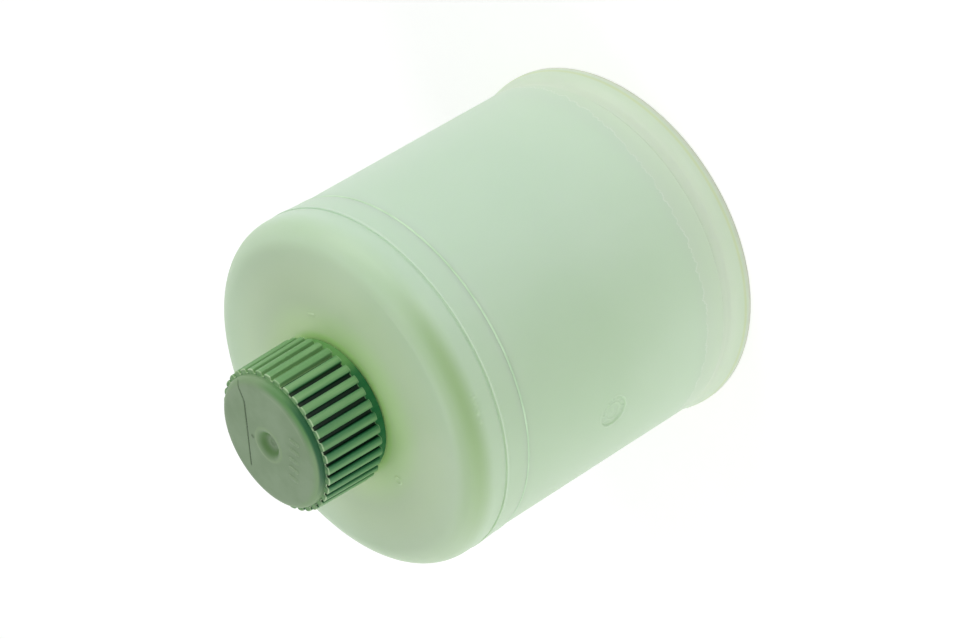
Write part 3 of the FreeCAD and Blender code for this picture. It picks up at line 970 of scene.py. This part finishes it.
def cap_angles(ribs, width, crest):
    """Angles of one rib's share, repeated: close together across its flanks."""
    half = width / 2 / crest
    soft = RIB_SOFT / crest
    pitch = FULL_TURN / ribs
    flank = half + soft * np.array([-1.1, -0.65, -0.25, 0.15, 0.55, 1.0])
    side = np.concatenate([[0, half * 0.55], flank, [(half + soft + pitch / 2) / 2]])
    share = np.concatenate([-side[:0:-1], side, [pitch / 2]])
    return merged_angles((even_angles(ribs)[:, None] + RIB_PHASE + share).ravel())


def slit_distances(east, north):
    """Distance to each stretch of the slit: to its nearest point, start + t (end - start), 0 <= t <= 1."""
    distances = []
    for start, end in zip(SLIT[:-1], SLIT[1:]):
        run = np.array(end) - np.array(start)
        off_east, off_north = east - start[0], north - start[1]
        share = np.clip((off_east * run[0] + off_north * run[1]) / (run @ run), 0, 1)
        distances.append(np.hypot(off_east - share * run[0], off_north - share * run[1]))
    return distances


def face_bars(east, north):
    """1 on the face's plain bars and 0 off them: bars at equal steps along a line, square to it."""
    east, north = east - BARS_MIDDLE[0], north - BARS_MIDDLE[1]
    along = east * math.cos(BARS_ANGLE) + north * math.sin(BARS_ANGLE)
    across = north * math.cos(BARS_ANGLE) - east * math.sin(BARS_ANGLE)
    cover = np.zeros_like(along)
    for number in range(BARS):
        cover += bar(across, along - (number - (BARS - 1) / 2) * BARS_STEP, 3.8 * MM, 1.1 * MM, 0.36 * MM)
    return cover


def face_rise(east, north):
    """Height of the cap's face over its flat: dimple with its pit, slit, dot and plain raised bars."""
    off = np.hypot(east, north)
    rise = -DIMPLE_DEPTH * smooth_step(DIMPLE_RADIUS - off, 0, DIMPLE_RADIUS - DIMPLE_FLOOR)
    rise += 0.12 * MM * bell(off - DIMPLE_RADIUS - 0.3 * MM, 0.45 * MM)
    rise -= 0.35 * MM * (1 - smooth_step(off, 0.9 * MM, 1.3 * MM))
    for distance in slit_distances(east, north):
        rise -= 0.3 * MM * (1 - smooth_step(distance, 0.1 * MM, 0.32 * MM))
    rise += 0.35 * MM * bell(np.hypot(east - DOT[0], north - DOT[1]), 0.5 * MM)
    return rise + BARS_HEIGHT * face_bars(east, north)


def plain_row(radius, height):
    """Row of the cap's grid with the same radius on the ribs as between them."""
    return radius, radius, height, 0


def cap_rows():
    """Rows of the cap's grid, the number of rows of its face, and the first row of its grip.

    Rows run from the middle of the face out, over the lid's edge, down the ribbed grip and band and up the
    inside to the middle again. Each holds a radius on the ribs, a radius in the grooves, a height and how
    much painted highlight its edge gets.
    """
    lid = top("filler_cap")
    under = lid - 2.7 * MM
    foot = bottom("filler_cap")
    ribs_foot = foot + RIBS_RISE
    crest = crest_low()
    band, bore, bead = 20.9 * MM, 19.6 * MM, 18.9 * MM
    rim = ROOT_HIGH - 0.5 * MM
    face = np.concatenate([[0, 0.5], np.arange(0.8, 5.6, 0.25), np.arange(5.75, 17.6, 0.25)]) * MM
    rows = [plain_row(radius, lid) for radius in face]
    for turn in np.linspace(0, math.pi / 2, 9)[1:]:
        edge = face[-1] + (rim - face[-1]) * math.sin(turn)
        rows.append(plain_row(edge, lid - 2.1 * MM * (1 - math.cos(turn))))
    grip = len(rows) + 1
    rows += [
        plain_row(rim, under + 0.06 * MM), (rim + 0.06 * MM, rim + 0.06 * MM, under, 0.2),
        (CREST_HIGH - 0.4 * MM, ROOT_HIGH - 0.3 * MM, under, 0.25),
        (CREST_HIGH - 0.26 * MM, ROOT_HIGH - 0.16 * MM, under + 0.05 * MM, 1),
        (CREST_HIGH - 0.03 * MM, ROOT_HIGH, under - 0.03 * MM, 1),
        (CREST_HIGH, ROOT_HIGH, under - 0.16 * MM, 0.9), (CREST_HIGH, ROOT_HIGH, under - 0.34 * MM, 0.05),
    ]
    for share in np.linspace(0, 1, 12)[1:-1]:
        height = under - 0.4 * MM + (ribs_foot + 0.8 * MM - under) * share
        rows.append((CREST_HIGH + (crest - CREST_HIGH) * share, ROOT_HIGH + (ROOT_LOW - ROOT_HIGH) * share,
                     height, 0))
    seat = bottom("cap_seal") + 1.8 * MM
    rows += [
        (crest, ROOT_LOW, ribs_foot + 0.3 * MM, 0), (crest - 0.1 * MM, ROOT_LOW, ribs_foot + 0.05 * MM, 0.7),
        (crest - 0.3 * MM, band + 0.1 * MM, ribs_foot, 0), plain_row(band, ribs_foot - 0.05 * MM),
        plain_row(band, foot + 0.3 * MM), plain_row(band - 0.12 * MM, foot + 0.08 * MM),
        plain_row(band - 0.35 * MM, foot), plain_row(bore + 0.5 * MM, foot),
        plain_row(bore, foot + 0.5 * MM), plain_row(bore, seat - 1.5 * MM),
        plain_row(bead, seat - 0.8 * MM), plain_row(bead, seat),
        plain_row(bore, seat), plain_row(bore, under), plain_row(DIMPLE_RADIUS, under),
        plain_row(DIMPLE_RADIUS, lid - 3.2 * MM), plain_row(0, lid - 3.2 * MM),
    ]
    return np.array(rows), len(face), grip


def cap_grid(look):
    """Points of the cap's surface, and the layers that its material reads.

    A rib's share of a column is 1 - c (x / h)^2 over its crest, with x the distance from its middle, h its
    half width and c the crown's drop as a part of its height, times a smooth step down its flank. The layers
    are the depth in the grooves, which the material paints as shade, the sharp edges that get a painted
    highlight, the slit with a ring of painted shade round the dot, how far to its side a rib's point is,
    what belongs to the grip, and the edges of the raised bars.
    """
    rows, face_count, first_grip = cap_rows()
    crest, root, level, glint_share = [column[:, None] for column in rows.T]
    number = np.arange(len(rows))[:, None]
    wide = crest_low()
    angles = cap_angles(look.ribs, look.rib_width, wide)
    half = look.rib_width / 2
    off = wrapped((angles - RIB_PHASE) * look.ribs) / look.ribs * wide
    side = np.abs(off)
    share = 1 - RIB_CROWN / (wide - ROOT_LOW) * np.minimum(side / half, 1) ** 2
    share *= 1 - smooth_step(side, half - RIB_SOFT, half + RIB_SOFT)
    radius = root + (crest - root) * share
    east, north = radius * np.cos(angles), radius * np.sin(angles)
    on_face = number < face_count + 4
    height = level + np.where(on_face, face_rise(east, north), 0)
    slit = 0.8 * (1 - smooth_step(np.min(slit_distances(east, north), axis=0), 0.12 * MM, 0.34 * MM))
    dot_off = np.hypot(east - DOT[0], north - DOT[1])
    bars = face_bars(east, north)
    raised = smooth_step(bars, 0.1, 0.5) * (1 - smooth_step(bars, 0.6, 1.0) * 0.8)
    every = np.ones_like(radius)
    layers = [
        # groove: depth between the ribs, which the material paints as shade.
        ("groove", np.where(crest - root > 0.4 * MM, 1 - smooth_step(share, 0.0, 0.9), 0)),
        # edge: where the material paints a highlight along the ribs' sharp edges.
        ("edge", glint_share * every),
        # slit: the slit, and a ring round the dot that the material paints as shade.
        ("slit", np.where(on_face, slit + 0.5 * bell(dot_off - 0.4 * MM, 0.25 * MM), 0)),
        ("lean", np.clip(off / half, -1.2, 1.2) * every),
        ("grip", (number >= first_grip) * every),
        ("raised", np.where(on_face, raised, 0)),
    ]
    return np.stack([east, north, height], -1), layers


class RESERVOIR_OT_cap(Operator):
    """Make the ribbed filler cap and the thread inside it."""
    bl_idname = "reservoir.cap"
    bl_label = "Filler cap"

    def execute(self, context):
        look = context.scene.reservoir.cap
        points, layers = cap_grid(look)
        plastic = cap_green("cap plastic", look)
        shell = new_mesh("filler_cap_shell", points, wrap_rows=False, layers=layers)
        fit(shell, "cap", "cap_plastic", plastic, "filler_cap")
        start = THREAD_START + look.pitch / 2
        ridge = screw_ridge("cap_thread", 19.62 * MM, 1.0 * MM, 1.7 * MM, start, look.pitch, 1.7, side=-1)
        fit(ridge, "cap", "cap_plastic", plastic)
        return {"FINISHED"}


def soft_ring(node, bulge, steps=5):
    """Section of a rubber ring: its solid's box with round corners and slightly bowed sides."""
    radius, _ = rings(node)
    low, high = bottom(node), top(node)
    inner, outer = float(radius.min()), float(radius.max())
    middle = (low + high) / 2
    corner = 0.32 * min(high - low, outer - inner)
    places = ((inner, low), (outer - bulge, low), (outer, middle), (outer - bulge, high), (inner, high),
              (inner - bulge, middle))
    return rounded([place + (corner, steps) for place in places])


class RESERVOIR_OT_seals(Operator):
    """Make the pump's seal and the cap's seal ring, and finish the breather valve."""
    bl_idname = "reservoir.seals"
    bl_label = "Seals"

    def execute(self, context):
        look = context.scene.reservoir.inner
        rubber = black_rubber("seal rubber")
        for node, body in (("pump_seal", "tank"), ("cap_seal", "cap_lift")):
            points = turned(soft_ring(node, look.seal_bulge), even_angles(240))
            fit(new_mesh(node + "_ring", points), body, "rubber", rubber, node)
        refinish("breather_valve", rubber)
        return {"FINISHED"}


INNER_FINISHES = (
    ("strainer_cage", "cage plastic", (226, 226, 212), (208, 208, 192)),
    ("seal_plug", "plug plastic", (210, 210, 198), (192, 192, 178)),
    ("baffle", "plate plastic", (190, 210, 182), (174, 196, 166)),
)


class RESERVOIR_OT_strainer(Operator):
    """Make the strainer's woven cup, and finish the cage, the plug and the plate."""
    bl_idname = "reservoir.strainer"
    bl_label = "Strainer"

    def execute(self, context):
        look = context.scene.reservoir.inner
        outer = widest("strainer_mesh", 0, 1) - 0.1 * MM
        low, high = bottom("strainer_mesh") + 0.05 * MM, top("strainer_mesh")
        corners = [(0, low, 0, 0), (outer, low, 1.0 * MM, 6), (outer, high, 0, 0)]
        section = refined(rounded(corners, closed=False), 1.0 * MM, closed=False)
        angles = even_angles(144)
        points = turned(section, angles)
        on_side = section[:, :1] > outer - 0.5 * MM
        warp = np.where(on_side, angles * outer, points[..., 0])
        weft = np.where(on_side, lengths(section)[:, None], points[..., 1])
        cup = new_mesh("strainer_cup", points, wrap_rows=False, layers=[("warp", warp), ("weft", weft)])
        fit(cup, "tank", "mesh_fabric", woven_mesh("strainer weave", look.weave), "strainer_mesh")
        for node, name, light, shade in INNER_FINISHES:
            refinish(node, natural_plastic(name, colour(*light), colour(*shade)))
        return {"FINISHED"}


# Stage

LOOK_AT = Vector((0, 0, 0.07))
LAMP_SIZE = 0.8
LAMPS = (("right", (1.05, -0.38, 0.5)), ("left", (-1.05, 0.05, 0.55)), ("front", (0.34, -1.25, 0.12)))
FRAME_WIDTH = 36.0
CAMERA_PLACE = Vector((-0.00046, -0.52625, 0.42409))
CAMERA_RIGHT = Vector((-0.51621, -0.49061, -0.70202))
CAMERA_UP = Vector((0.85646, -0.29570, -0.42312))
CAMERA_BACK = Vector((0.0, -0.81967, 0.57283))


def lamp(name, place, power):
    """Square area lamp that looks at the part."""
    data = bpy.data.lights.new(name, "AREA")
    data.energy = power
    data.size = LAMP_SIZE
    thing = placed(name, data)
    thing.location = place
    thing.rotation_euler = (LOOK_AT - Vector(place)).to_track_quat("-Z", "Y").to_euler()


class RESERVOIR_OT_stage(Operator):
    """Make the floor, the lamps, the room's light and the camera."""
    bl_idname = "reservoir.stage"
    bl_label = "Stage"

    def execute(self, context):
        look = context.scene.reservoir.stage
        half = look.floor / 2
        mesh = bpy.data.meshes.new("floor")
        corners = [(-half, -half, 0), (half, -half, 0), (half, half, 0), (-half, half, 0)]
        mesh.from_pydata(corners, [], [(0, 1, 2, 3)])
        mesh.materials.append(stage_white("floor white"))
        placed("floor", mesh)
        for side, place in LAMPS:
            lamp(side + "_light", place, getattr(look, side))
        world = bpy.data.worlds.new("room")
        world.use_nodes = True
        context.scene.world = world
        ground = world.node_tree.nodes["Background"]
        ground.inputs["Color"].default_value = grey(1.0)
        room = Finish.on_tree(world.node_tree)
        room.feed(ground.inputs["Strength"], look.surround + room.seen_ray() * (1.0 - look.surround))
        data = bpy.data.cameras.new("camera")
        data.sensor_fit = "HORIZONTAL"
        data.sensor_width = FRAME_WIDTH
        data.lens = look.lens
        camera = placed("camera", data)
        turn = Matrix((CAMERA_RIGHT, CAMERA_UP, CAMERA_BACK)).transposed().to_4x4()
        camera.matrix_world = Matrix.Translation(CAMERA_PLACE) @ turn
        context.scene.camera = camera
        context.scene.view_settings.view_transform = "Standard"
        return {"FINISHED"}


class RESERVOIR_PT_sidebar(Panel):
    """Lists the pieces and the stage."""
    bl_idname = "RESERVOIR_PT_sidebar"
    bl_label = "Steering reservoir"
    bl_space_type = "VIEW_3D"
    bl_region_type = "UI"
    bl_category = "Reservoir"

    def draw(self, context):
        for step in STEPS:
            self.layout.operator(step.bl_idname)
        look = context.scene.reservoir
        for group in (look.tank, look.cap, look.inner, look.stage):
            box = self.layout.box()
            for name in group.bl_rna.properties.keys():
                if name not in ("rna_type", "name"):
                    box.prop(group, name)


STEPS = (RESERVOIR_OT_barrel, RESERVOIR_OT_dome, RESERVOIR_OT_cap, RESERVOIR_OT_seals, RESERVOIR_OT_strainer,
         RESERVOIR_OT_stage)
CLASSES = (TankLook, CapLook, InnerLook, StageLook, ReservoirLook) + STEPS + (RESERVOIR_PT_sidebar,)


def register():
    """Registers the classes and the scene's settings."""
    for kind in CLASSES:
        bpy.utils.register_class(kind)
    bpy.types.Scene.reservoir = PointerProperty(type=ReservoirLook)


def unregister():
    """Takes the settings and the classes away again."""
    del bpy.types.Scene.reservoir
    for kind in reversed(CLASSES):
        bpy.utils.unregister_class(kind)


def main():
    """Makes every piece and the stage."""
    register()
    for step in STEPS:
        group, name = step.bl_idname.split(".")
        getattr(getattr(bpy.ops, group), name)()


if __name__ == "__main__":
    main()
